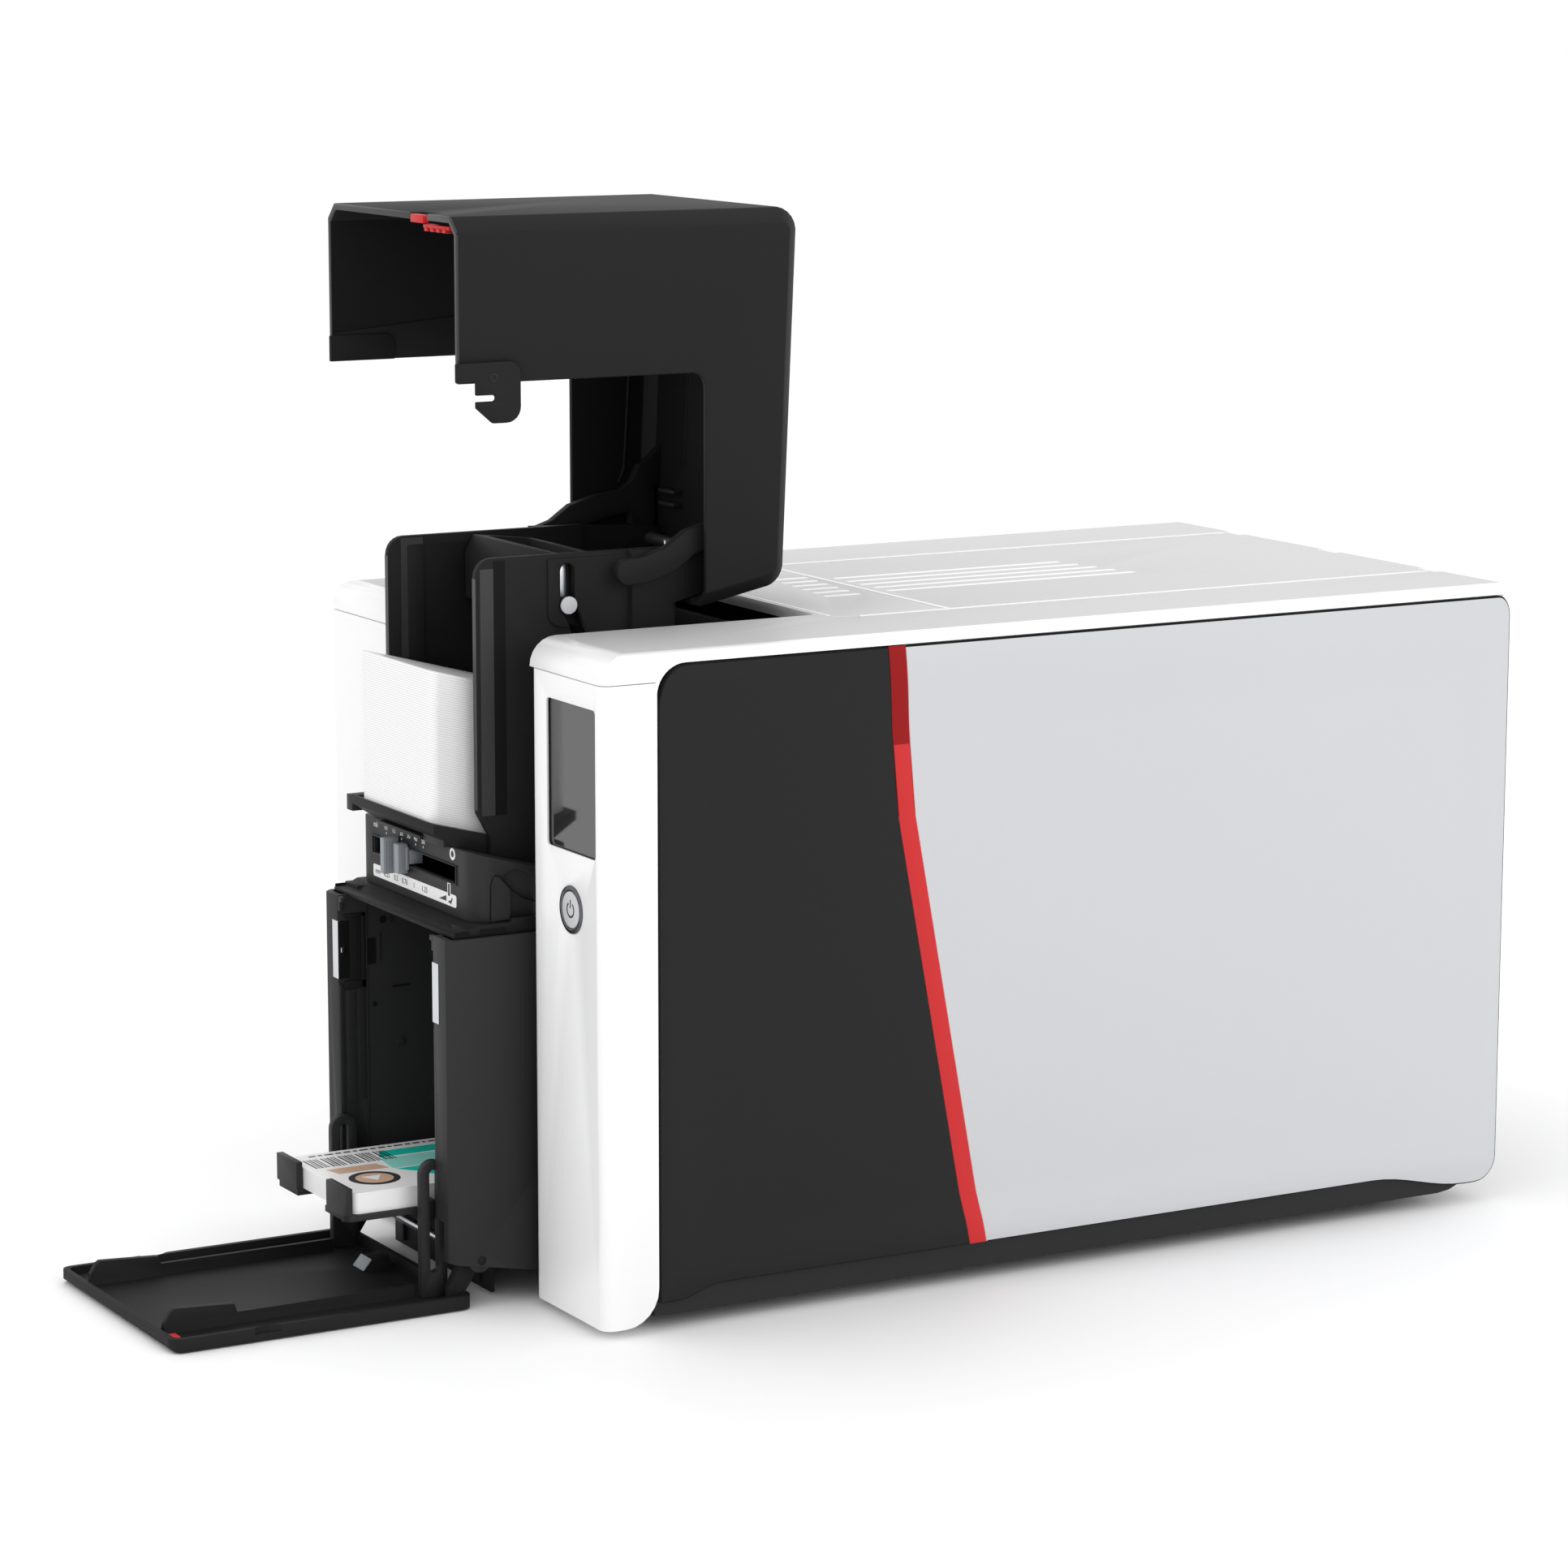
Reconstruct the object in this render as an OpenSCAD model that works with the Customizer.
// Desktop plastic-card printer: front feeder with a tilting hood, output hopper with a
// drop-down door, top cover hinged at the rear, and the print engine inside.
// Axes: x runs to the right seen from the front, y runs to the rear, z runs up.
// Inside the modules y = 0 is the front face of the body; on_table() moves it to the origin.

/* [Body] */
// Width over both side panels
body_w = 205; // [198:1:225]
// Depth of the body without hopper and door
body_d = 354.5; // [350:0.5:380]
// Height of the flat top above the table
body_h = 220.4; // [219:0.2:230]
// Gap under the front columns, filled by the feet
foot_h = 3; // [2:0.5:5]
// Depth of the white band at the front of each side
band_d = 19.6; // [16:0.2:24]
// Height of the seam between body and top cover below the top
seam_drop = 9.6; // [8:0.2:12]
// Wall of the mouldings
wall_t = 2.6; // [2:0.1:3]
// Thickness of the side panels
panel_t = 3; // [2.4:0.1:3.6]
// Distance of the panel's top edge below the top
panel_drop = 4; // [3.5:0.1:5]
// Clear width between the two front columns
column_gap = 105.2; // [104:0.2:110]
// Vertical edge radius of the columns
column_r = 4; // [2:0.5:6]

/* [Side panels] */
// Distance of the red stripe from the front at the panel's top
stripe_y_top = 103.7; // [95:0.5:112]
// Distance of the red stripe from the front at its kink
stripe_y_kink = 107.2; // [98:0.5:116]
// Distance of the red stripe from the front at the panel's bottom
stripe_y_bottom = 133; // [120:0.5:150]
// Width of the stripe
stripe_w = 6.4; // [4:0.2:9]
// Height of the kink above the table
stripe_kink_z = 178.4; // [165:0.5:190]
// Lower edge of the panels above the table, between their feet
panel_bottom_z = 13.8; // [12:0.2:18]
// Flat rim round the sunk middle of a panel
panel_rim = 4; // [3:0.5:6]
// Width of the soft slope from the rim down to the sunk middle
panel_slope = 18; // [12:1:24]
// Thickness of the sunk middle
panel_floor = 1.3; // [1.2:0.1:2]

/* [Controls] */
// Distance of the screen from the column's inner edge
screen_in = 11.6; // [8:0.2:14]
// Distance of the screen from the column's outer edge
screen_out = 4.7; // [4:0.1:8]
// Screen height
screen_h = 47.6; // [40:0.2:54]
// Distance of the screen's centre below the top
screen_drop = 41.4; // [39:0.2:48]
// Distance of the button's centre below the screen's centre
button_drop = 42.3; // [38:0.1:50]
// Button diameter
button_d = 11.9; // [9:0.1:14]
// Width of the ring around the button
ring_w = 1.8; // [1.2:0.1:3]

/* [Cards] */
// Card length
card_l = 85.6; // [84:0.1:87]
// Card width
card_w = 54; // [53:0.1:55]
// Corner radius of a card
card_r = 3.2; // [2.5:0.1:4]
// Height of the blank stack in the feeder
stack_h = 50; // [20:1:60]
// Height of the printed stack in the tray
printed_h = 7; // [2:0.5:12]
// Slope of the feeder floor
feed_tilt = 15; // [12:0.5:17]

/* [Feeder] */
// Clear width between the feeder's side walls
feeder_w = 64; // [62:0.5:66]
// Thickness of the feeder's side walls
feeder_wall = 2.5; // [2:0.1:3]
// Distance of the feeder's side walls below the top of the closed hood
feeder_drop = 6.6; // [6.4:0.1:9]
// Upper face of the feeder floor at its front edge
floor_z = 158; // [156:0.5:160]
// How far the stack stands out in front of the body
stack_front = 23.4; // [22:0.2:24]
// Half width of the gauge housing
gauge_half = 44; // [42:0.2:45]
// Width of the gauge's front face
gauge_face_w = 77.6; // [74:0.2:80]
// Distance of the gauge face in front of the body
gauge_front = 16.5; // [14:0.5:18]
// Top of the gauge face above the table
gauge_top_z = 150; // [149:0.5:151]
// Travel of the card weight along its slot
weight_travel = 20; // [12:0.5:22]

/* [Hood] */
// Outer width of the hood
hood_w = 98; // [96:0.5:99.5]
// Wall of the hood
hood_t = 2.2; // [1.8:0.1:2.4]
// Height of the hood's pin above the body's top
pin_lift = 16.85; // [15:0.05:19]
// Depth of the hood behind its pin, at the open hood's top
pin_back = 13.15; // [12.5:0.05:15]
// Front arm: height when open
hood_arm_h = 52.3; // [50:0.1:56]
// Rear arm: height when open
hood_back_h = 129.5; // [128.5:0.1:131]
// Rear arm: depth at its top when open
hood_back_d = 36.5; // [35:0.5:38]
// Chamfer round the hood's side faces
hood_bevel = 5; // [3:0.5:6]
// Radius of the hood's rear corners
hood_corner_r = 8; // [6.5:0.5:9]
// Height of the open hood's lower end above the body's top
hood_lift = 4.1; // [3:0.1:5]
// Forward lean of the hood's rear face when open
hood_lean = 2.5; // [1.5:0.1:2.6]
// Rise of the hood's lower face to the rear when open
foot_lean = 11.5; // [8:0.5:13]
// How far the closed hood stands out in front of the body
hood_closed_y = 27; // [26.5:0.1:28]

/* [Hopper] */
// Outer width of hopper and door
hopper_w = 97.5; // [94:0.5:99]
// Hopper's front face in front of the body
hopper_front = 28; // [26:0.5:30]
// Top of the hopper above the table
hopper_top_z = 125; // [123:0.5:126]
// Underside of the hopper above the table
hopper_bottom_z = 16; // [14:0.5:18]
// Clear width of the hopper
cavity_w = 74.6; // [73:0.2:76]
// Depth of the hopper from its front face
hopper_d = 94; // [92:0.5:100]

/* [Door] */
// Thickness of the door's rim
door_rim = 4.4; // [3.6:0.1:5]
// Door skin
door_skin = 1.8; // [1.4:0.1:2.4]
// Gap between open door and table
door_lift = 0.5; // [0.3:0.1:1]
// Reach of the open door in front of the body
door_reach = 125.6; // [123:0.5:130]
// Height of the door's slotted arms
arm_h = 46; // [40:1:48]

/* [Tray] */
// Card support height of the tray above the table
tray_z = 31; // [29:0.5:34]
// Distance of the tray's front in front of the body
tray_front = 55.7; // [54:0.5:57]

/* [Engine] */
// Height of the card path above the table
path_z = 122; // [120:0.5:124]
// Clear width between the engine's side plates
engine_w = 82; // [80:0.5:88]
// Thickness of the side plates
plate_t = 1.6; // [1.2:0.1:2.4]
// Diameter of the platen
platen_d = 16; // [12:0.5:18]
// Diameter of the feed rollers
roller_d = 14; // [10:0.5:16]
// Diameter of roller shafts
shaft_d = 5; // [4:0.5:6]
// Outer diameter of the ribbon on its supply core
ribbon_d = 36; // [30:1:42]
// Gear module
gear_m = 1; // [0.8:0.1:1.2]

/* [Hidden] */
$fn = 48;
white = [0.93, 0.93, 0.94];
panel_grey = [0.84, 0.84, 0.85];
black = [0.17, 0.17, 0.17];
dark_grey = [0.28, 0.28, 0.29];
stripe_red = [0.8, 0.22, 0.23];
steel = [0.72, 0.73, 0.75];

// Clearances
slip = 0.3;
fit = 0.05;
cut = 1;

// Body
half_w = body_w / 2;
gap_half = column_gap / 2;
seam_z = body_h - seam_drop;
panel_top_z = body_h - panel_drop;
housing_half = half_w - panel_t;
housing_z = foot_h + 2;
column_foot_r = 12;
rear_cap_d = 10.2;
rear_cap_h = 5;
rear_panel_t = 3;
housing_corner_r = 20;
foot_peg_r = 2;
screw_head_r = 3;
screw_head_h = 1.2;
cover_pin_r = 1;
cover_pin_half = 92;
cap_lug_x = [-60, 0, 60];
cap_lug_half = 5;
cover_knuckle_r = 2.2;
cover_pin_y = body_d - cover_knuckle_r;
cover_pin_z = body_h - cover_knuckle_r;
notch_rear_y = 105.5;
insert_half = 62;
insert_rear_y = 151;
insert_t = 1.6;
bay_t = 2.2;
bay_y = hopper_d - hopper_front + 2;
bay_shelf_z = body_h + pin_lift - 55.2;
bay_top_z = seam_z - slip;
screen_w = half_w - gap_half - screen_in - screen_out;
screen_x = gap_half + screen_in + screen_w / 2;
screen_z = body_h - screen_drop;
button_z = screen_z - button_drop;
panel_sink = panel_t - panel_floor;

// Feeder: heights of floor and gauge housing at a given y
function floor_at(y) = floor_z - (y + stack_front) * tan(feed_tilt);
function gauge_top_at(y) = gauge_top_z - (y + gauge_front) * tan(feed_tilt);
feeder_half = feeder_w / 2;
hood_top_z = body_h + hood_lift + hood_back_h;
hood_pin_z = body_h + pin_lift;
hood_pin_y = hood_top_z - hood_pin_z - hood_closed_y;
hood_closed_z = hood_pin_z + pin_back;
feeder_top_z = hood_closed_z - feeder_drop;
feeder_front_y = -10;
feeder_rear_y = card_l * cos(feed_tilt) - stack_front + 0.6;
feed_roller_y = 32;
feed_axis = [feed_roller_y - (roller_d / 2 + 0.1) * sin(feed_tilt),
    floor_at(feed_roller_y) - (roller_d / 2 + 0.1) * cos(feed_tilt)];
weight_y = 22.6;
weight_z = feeder_top_z - 16.7;
weight_pin_r = 2.35;
slot_lean = 27;
gauge_slot = [[-32.5, 138], [31.2, 143.6]];

// Hood: closed, its mouth comes down on the hopper
hood_half = hood_w / 2;
hood_front_y = hood_pin_y - hood_pin_z + hopper_top_z;
hood_rear_y = hood_pin_y + pin_back;
hood_arm_z = hood_top_z - hood_arm_h;
hood_back_y = hood_rear_y - hood_back_d;
hood_pin_r = 2;
hood_eye_r = 4.6;
ear_t = 3.5;
arm_x = 39.5;
arm_t = 3.5;
neck_w = 8.4;
neck_tip = [-48.6, 0.2];
hook_t = 1.6;
latch_x = [15, 27];

// Hopper door: the pin follows from where the door lies open and closed
door_half = hopper_w / 2;
door_top_gap = 0.5;
door_pin_sum = hopper_top_z - door_top_gap - door_reach;
door_pin_diff = hopper_front + slip + door_lift + door_rim;
door_pin_y = (door_pin_sum - door_pin_diff) / 2;
door_pin_z = (door_pin_sum + door_pin_diff) / 2;
door_pin_r = 1.5;
door_rear_y = door_pin_y - 3;
cavity_half = cavity_w / 2;
hopper_skin = 2;
lug_x = cavity_half + hopper_skin + slip;
lug_t = 3.3;
slot_arm_x = 33.5;
slot_arm_t = 3;
rail_half = 9;
tray_half = card_w / 2 + 1.5;

// Engine
engine_half = engine_w / 2;
card_t = 0.8;
platen_y = 205;
entry_y = platen_y - 77;
exit_y = platen_y + 43;
takeup_y = platen_y - 55;
supply_y = platen_y + 57;
spool_z = body_h - 48.4;
plate_front_y = platen_y - 93;
plate_rear_y = platen_y + 95;
plate_z = 62;
motor_y = platen_y + 20;
motor_z = path_z - 38;
pinion_r = 8;
wheel_w = 5;
pinch_r = 5;
motor_half = 21;
fan_size = 40;
fan_x = 47.5 - housing_half;
fan_z = housing_z + 55;
socket_z = housing_z + 35;
board_z = housing_z + wall_t + 6;

// Moves the parts from their own frame to the origin under the middle of the whole
module on_table() {
    translate([0, -(body_d - door_reach) / 2, 0]) children();
}

module both_sides() {
    children();
    mirror([1, 0, 0]) children();
}

// Outline [y, z] carried across from one x to another
module across(x0, x1) {
    translate([x0, 0, 0]) rotate([90, 0, 90]) linear_extrude(x1 - x0) children();
}

// Outline [x, z] carried along from one y to another
module along(y0, y1) {
    translate([0, y1, 0]) rotate([90, 0, 0]) linear_extrude(y1 - y0) children();
}

// Outline [x, y] carried up from one z to another
module upward(z0, z1) {
    translate([0, 0, z0]) linear_extrude(z1 - z0) children();
}

// Cuboid between two opposite corners
module block(low, high) {
    translate(low) cube(high - low);
}

// Cylinder on an axis along x, through [y, z]
module rod(x0, x1, y, z, r) {
    translate([x0, y, z]) rotate([0, 90, 0]) cylinder(h = x1 - x0, r = r);
}

// Points of an arc
function arc(centre, r, from, to, steps = 6) = [for (i = [0:steps])
    let (a = from + (to - from) * i / steps) [centre.x + r * cos(a), centre.y + r * sin(a)]];

// Rectangle with round corners, drawn between two corners
module rounded(low, high, r) {
    translate([low.x + r, low.y]) square([high.x - low.x - 2 * r, high.y - low.y]);
    translate([low.x, low.y + r]) square([high.x - low.x, high.y - low.y - 2 * r]);
    for (x = [low.x + r, high.x - r], y = [low.y + r, high.y - r])
        translate([x, y]) circle(r);
}

// Slot with round ends between two points on one line along y or z
module slot(from, to, w) {
    translate([min(from.x, to.x), min(from.y, to.y)])
        translate(from.x == to.x ? [-w / 2, 0] : [0, -w / 2])
            square(from.x == to.x ? [w, abs(to.y - from.y)] : [abs(to.x - from.x), w]);
    for (p = [from, to]) translate(p) circle(d = w);
}

// ---------------------------------------------------------------- body

module column_plan(inset) {
    r = column_r - inset;
    polygon(concat(
        [[gap_half + inset, band_d + inset]],
        arc([gap_half + inset + r, inset + r], r, 180, 270),
        arc([half_w - inset - r, inset + r], r, 270, 360),
        [[half_w - inset, band_d + inset]]));
}

module column_shell() {
    difference() {
        intersection() {
            upward(foot_h, seam_z) column_plan(0);
            across(gap_half - cut, half_w + cut) polygon(concat(
                [[-cut, foot_h]],
                arc([band_d - column_foot_r, foot_h + column_foot_r], column_foot_r, 270, 360),
                [[band_d, seam_z + cut], [-cut, seam_z + cut]]));
        }
        upward(foot_h + column_foot_r, seam_z + cut) column_plan(wall_t);
    }
}

module right_column() {
    screen_low = [screen_x - screen_w / 2, screen_z - screen_h / 2];
    screen_high = [screen_x + screen_w / 2, screen_z + screen_h / 2];
    frame = 1.6;
    color(white) on_table() difference() {
        column_shell();
        along(-cut, wall_t + cut) rounded(screen_low, screen_high, 1.5);
        along(0.8, wall_t + cut) rounded(screen_low - [frame, frame], screen_high + [frame, frame], 2);
        translate([screen_x, -cut, button_z]) rotate([-90, 0, 0])
            cylinder(h = wall_t + 2 * cut, d = button_d + 2 * ring_w + 2 * fit);
    }
}

module left_column() {
    color(white) on_table() mirror([1, 0, 0]) column_shell();
}

module lower_housing() {
    rear = body_d - rear_panel_t;
    color(dark_grey) on_table() difference() {
        across(-housing_half, housing_half) polygon(concat(
            [[band_d, housing_z]],
            arc([rear - housing_corner_r, housing_z + housing_corner_r], housing_corner_r, 270, 360),
            [[rear, panel_top_z - 1], [band_d, panel_top_z - 1]]));
        block([wall_t - housing_half, band_d - cut, housing_z + wall_t],
              [housing_half - wall_t, rear + cut, panel_top_z]);
        // Air slots in the floor
        for (x = [-60:12:60]) upward(housing_z - cut, housing_z + wall_t + cut)
            slot([x, body_d - 105], [x, body_d - 55], 4);
        for (p = foot_list()) translate([p.x, p.y, housing_z - cut])
            cylinder(h = wall_t + 2 * cut, r = foot_peg_r);
        // Clearance for the hopper and its bay
        block([-gap_half - bay_t, band_d - cut, housing_z - cut],
              [gap_half + bay_t, bay_y + bay_t, panel_top_z]);
    }
}

module feet() {
    foot_r = 8;
    color([0.1, 0.1, 0.1]) on_table() for (p = foot_list()) translate([p.x, p.y, 0]) {
        cylinder(h = housing_z, r = foot_r);
        translate([0, 0, housing_z]) cylinder(h = wall_t, r = foot_peg_r);
    }
}

function foot_list() = [for (x = [-1, 1], y = [45, body_d - 40]) [x * (housing_half - 26), y]];

module front_bay() {
    wall_low = housing_z;
    slot_low = path_z - 16;
    color(black) on_table() {
        both_sides() across(gap_half, gap_half + bay_t) polygon([[band_d, wall_low],
            [bay_y + bay_t, wall_low], [bay_y + bay_t, bay_shelf_z - bay_t],
            [notch_rear_y + bay_t, bay_shelf_z - bay_t], [notch_rear_y + bay_t, bay_top_z],
            [band_d, bay_top_z]]);
        difference() {
            across(-gap_half, gap_half) polygon([
                [bay_y, wall_low], [bay_y + bay_t, wall_low], [bay_y + bay_t, bay_shelf_z - bay_t],
                [notch_rear_y + bay_t, bay_shelf_z - bay_t], [notch_rear_y + bay_t, bay_top_z],
                [notch_rear_y, bay_top_z], [notch_rear_y, bay_shelf_z], [bay_y, bay_shelf_z]]);
            // Mouth for blank cards on their way in and for printed cards on their way out
            block([-card_w / 2 - 2, bay_y - cut, slot_low],
                [card_w / 2 + 2, bay_y + bay_t + cut, path_z + 18]);
        }
    }
}

// Points of a soft step from one point to another
function soft_step(from, to, n = 8) = [for (i = [0:n])
    [from.x + (to.x - from.x) * i / n, from.y + (to.y - from.y) * (1 - cos(180 * i / n)) / 2]];

// Outline of a side panel: its lower edge dips to a foot at either end
module panel_outline() {
    front = band_d + slip;
    front_r = 10;
    top_r = 5;
    foot_r = 9;
    front_dip = 4;
    rear_dip = 6;
    polygon(concat(
        [[front, panel_bottom_z - front_dip]],
        soft_step([front + 6, panel_bottom_z - front_dip], [front + 23, panel_bottom_z]),
        soft_step([body_d - 54, panel_bottom_z], [body_d - 13, panel_bottom_z - rear_dip]),
        arc([body_d - foot_r, panel_bottom_z - rear_dip + foot_r], foot_r, 270, 360),
        arc([body_d - top_r, panel_top_z - top_r], top_r, 0, 90),
        arc([front + front_r, panel_top_z - front_r], front_r, 90, 180)));
}

// Zone of the side between the front and a line parallel to the stripe
module stripe_zone(shift) {
    polygon([[0, 0], [stripe_y_bottom + shift + 2, 0], [stripe_y_bottom + shift, panel_bottom_z],
        [stripe_y_kink + shift, stripe_kink_z], [stripe_y_top + shift, panel_top_z],
        [stripe_y_top + shift, body_h], [0, body_h]]);
}

// Soft slopes from the rim at low and high down to the sunk middle between them
function sunk_outline(low, high) = [for (p = concat(
    [[low, half_w + cut]],
    soft_step([low, half_w], [low + panel_slope, half_w - panel_sink]),
    soft_step([high - panel_slope, half_w - panel_sink], [high, half_w]),
    [[high, half_w + cut]])) [p.y, p.x]];

// Side panel with its softly sunk middle
module panel_shell() {
    difference() {
        across(housing_half, half_w) panel_outline();
        intersection() {
            upward(0, body_h) polygon(sunk_outline(band_d + panel_rim, body_d - panel_rim));
            along(0, body_d) polygon(sunk_outline(panel_bottom_z + panel_rim, panel_top_z - panel_rim));
        }
    }
}

module panel_front() {
    intersection() {
        panel_shell();
        across(housing_half - cut, half_w + cut) stripe_zone(0);
    }
}

module panel_stripe() {
    intersection() {
        panel_shell();
        across(housing_half - cut, half_w + cut) difference() {
            stripe_zone(stripe_w);
            stripe_zone(0);
        }
    }
}

module panel_rear() {
    difference() {
        panel_shell();
        across(housing_half - cut, half_w + cut) stripe_zone(stripe_w);
    }
}

module right_panel_front() { color(black) on_table() panel_front(); }
module right_stripe() { color(stripe_red) on_table() panel_stripe(); }
module right_panel_rear() { color(panel_grey) on_table() panel_rear(); }
module left_panel_front() { color(black) on_table() mirror([1, 0, 0]) panel_front(); }
module left_stripe() { color(stripe_red) on_table() mirror([1, 0, 0]) panel_stripe(); }
module left_panel_rear() { color(panel_grey) on_table() mirror([1, 0, 0]) panel_rear(); }

module rear_panel() {
    color(dark_grey) on_table() difference() {
        along(body_d - rear_panel_t, body_d) rounded([-housing_half, housing_z + housing_corner_r],
            [housing_half, panel_top_z - rear_cap_h], 1);
        // Countersinks of the screws
        for (p = screw_list()) along(body_d - screw_head_h, body_d + cut) translate(p)
            circle(r = screw_head_r + slip);
        // Grille of the fan
        for (i = [-3:3])
            along(body_d - rear_panel_t - cut, body_d + cut) let (z = fan_z + 5 * i)
                slot([fan_x - 14, z], [fan_x + 14, z], 2.6);
        // Openings of the sockets
        for (s = socket_list()) along(body_d - rear_panel_t - cut, body_d + cut)
            translate([s[0] - s[2] / 2 - slip, s[1] - s[3] / 2 - slip])
                square([s[2] + 2 * slip, s[3] + 2 * slip]);
        // Slot for a security lock
        along(body_d - rear_panel_t - cut, body_d + cut)
            slot([housing_half - 17.5, seam_z - 60], [housing_half - 12.5, seam_z - 60], 3);
    }
}

// Screws of the rear panel: x, z
function screw_list() = [for (x = [-1, 1], z = [housing_z + 31, panel_top_z - 16])
    [x * (housing_half - 8), z]];

// Rear sockets: x, z, width, height of power, network and data inlets
function socket_list() = [[housing_half - 37.5, socket_z, 14, 11],
    [housing_half - 69.5, socket_z, 16, 13.5], [housing_half - 95.5, socket_z, 12, 11]];

// Strip under the cover's rear edge, with a round seat and lugs for the hinge pin
module rear_cap() {
    low = panel_top_z - rear_cap_h + slip;
    front = body_d - rear_cap_d;
    inner = housing_half - wall_t - slip;
    lug_r = cover_knuckle_r - slip;
    color(white) on_table() difference() {
        union() {
            difference() {
                block([-inner, front, low], [inner, body_d, panel_top_z - slip]);
                rod(-half_w, half_w, cover_pin_y, cover_pin_z, cover_knuckle_r + slip);
            }
            for (x = cap_lug_x) across(x - cap_lug_half, x + cap_lug_half) {
                translate([cover_pin_y, cover_pin_z]) circle(lug_r);
                translate([cover_pin_y - lug_r, low]) square([2 * lug_r, cover_pin_z - low]);
            }
        }
        rod(-half_w, half_w, cover_pin_y, cover_pin_z, cover_pin_r);
    }
}

// ---------------------------------------------------------------- top cover

// Long edges of the cover, seen from the front
module cover_front_view() {
    r = panel_drop - slip;
    along(-cut, body_d + cut) polygon(concat(
        [[-half_w, 0], [half_w, 0]],
        arc([half_w - r, body_h - r], r, 0, 90),
        arc([r - half_w, body_h - r], r, 90, 180)));
}

module cover_side_view(inset) {
    front_r = seam_drop - slip;
    low = seam_z + slip;
    polygon(concat(
        [[inset, low - (inset > 0 ? cut : 0)]],
        arc([front_r, low], front_r - inset, 180, 90),
        [[cover_pin_y - 2 * inset, body_h - inset],
         [cover_pin_y - 2 * inset, inset > 0 ? low - cut : panel_top_z + slip]],
        inset > 0 ? [] : [[band_d, panel_top_z + slip], [band_d, low]]));
}

module cover_plan() {
    difference() {
        polygon(concat(
            [[-half_w, body_d]],
            arc([column_r - half_w, column_r], column_r, 180, 270),
            arc([half_w - column_r, column_r], column_r, 270, 360),
            [[half_w, body_d]]));
        notch_plan(0);
    }
}

// Recess in the front of the cover that takes the feeder
module notch_plan(grow) {
    r = 3 + grow;
    polygon(concat(
        [[-gap_half - grow, -cut], [gap_half + grow, -cut]],
        arc([gap_half + grow - r, notch_rear_y + grow - r], r, 0, 90),
        arc([r - gap_half - grow, notch_rear_y + grow - r], r, 90, 180)));
}

module insert_plan(grow) {
    front_y = notch_rear_y + wall_t;
    rounded([-insert_half - grow, front_y - grow], [insert_half + grow, cover_pin_y - 4 + grow], 5);
}

module top_cover() {
    color(white) on_table() {
        difference() {
            union() {
                intersection() {
                    across(-half_w, half_w) cover_side_view(0);
                    cover_front_view();
                    upward(0, body_h + cut) cover_plan();
                }
                // Round rear edge about the hinge
                intersection() {
                    rod(-half_w, half_w, cover_pin_y, cover_pin_z, cover_knuckle_r);
                    cover_front_view();
                }
            }
            difference() {
                intersection() {
                    across(wall_t - half_w, half_w - wall_t) cover_side_view(wall_t);
                    along(0, body_d) square([2 * half_w, 2 * (body_h - wall_t)], center = true);
                }
                upward(0, body_h) notch_plan(wall_t);
            }
            // Bed of the two loose panels, and the air opening under them
            upward(body_h - insert_t, body_h + cut) insert_plan(0);
            block([-36, notch_rear_y + 22, body_h - 2 * wall_t], [36, 270, body_h]);
            // Seams of the loose panels run on over the rear edge
            both_sides() block([insert_half - slip, cover_pin_y - 10, body_h - slip],
                [insert_half, body_d + cut, body_h + cut]);
            // Bore of the hinge, and notches for the cap's lugs
            rod(-cover_pin_half - slip, cover_pin_half + slip, cover_pin_y, cover_pin_z, cover_pin_r + fit);
            for (x = cap_lug_x)
                block([x - cap_lug_half - slip, cover_pin_y - cover_knuckle_r - slip, seam_z],
                    [x + cap_lug_half + slip, body_d, body_h + cut]);
        }
    }
}

module cover_hinge_pin() {
    color(steel) on_table()
        rod(-cover_pin_half, cover_pin_half, cover_pin_y, cover_pin_z, cover_pin_r);
}

module front_insert() {
    color(white) on_table() difference() {
        intersection() {
            upward(body_h - insert_t, body_h) insert_plan(-slip);
            block([-half_w, 0, 0], [half_w, insert_rear_y - slip / 2, body_h + cut]);
        }
        for (i = [0:5]) let (x = 16 - 9 * i)
            upward(body_h - 2 * insert_t, body_h + cut) slot([x, 131 + i], [x, 143 + i], 3);
    }
}

module vent_panel() {
    color(white) on_table() difference() {
        intersection() {
            upward(body_h - insert_t, body_h) insert_plan(-slip);
            block([-half_w, insert_rear_y + slip / 2, 0], [half_w, body_d, body_h + cut]);
        }
        for (i = [0:4]) let (x = 14 - 9 * i)
            upward(body_h - 2 * insert_t, body_h + cut) slot([x, 157], [x, 256 - 2 * i], 3);
    }
}

// ---------------------------------------------------------------- controls

module screen_glass() {
    grow = 1.3;
    color([0.3, 0.3, 0.31]) on_table() along(1.2, 2.2) rounded(
        [screen_x - screen_w / 2 - grow, screen_z - screen_h / 2 - grow],
        [screen_x + screen_w / 2 + grow, screen_z + screen_h / 2 + grow], 2);
}

module display_module() {
    color([0.1, 0.3, 0.2]) on_table() {
        block([screen_x - screen_w / 2, 2.3, screen_z - screen_h / 2],
            [screen_x + screen_w / 2, 5, screen_z + screen_h / 2]);
        block([gap_half + wall_t + 1, 5, button_z - 14],
            [half_w - wall_t - 1, 6.6, screen_z + screen_h / 2 + 3]);
        translate([screen_x, 6.6, button_z]) rotate([90, 0, 0]) cylinder(h = 3, d = 5);
    }
}

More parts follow.
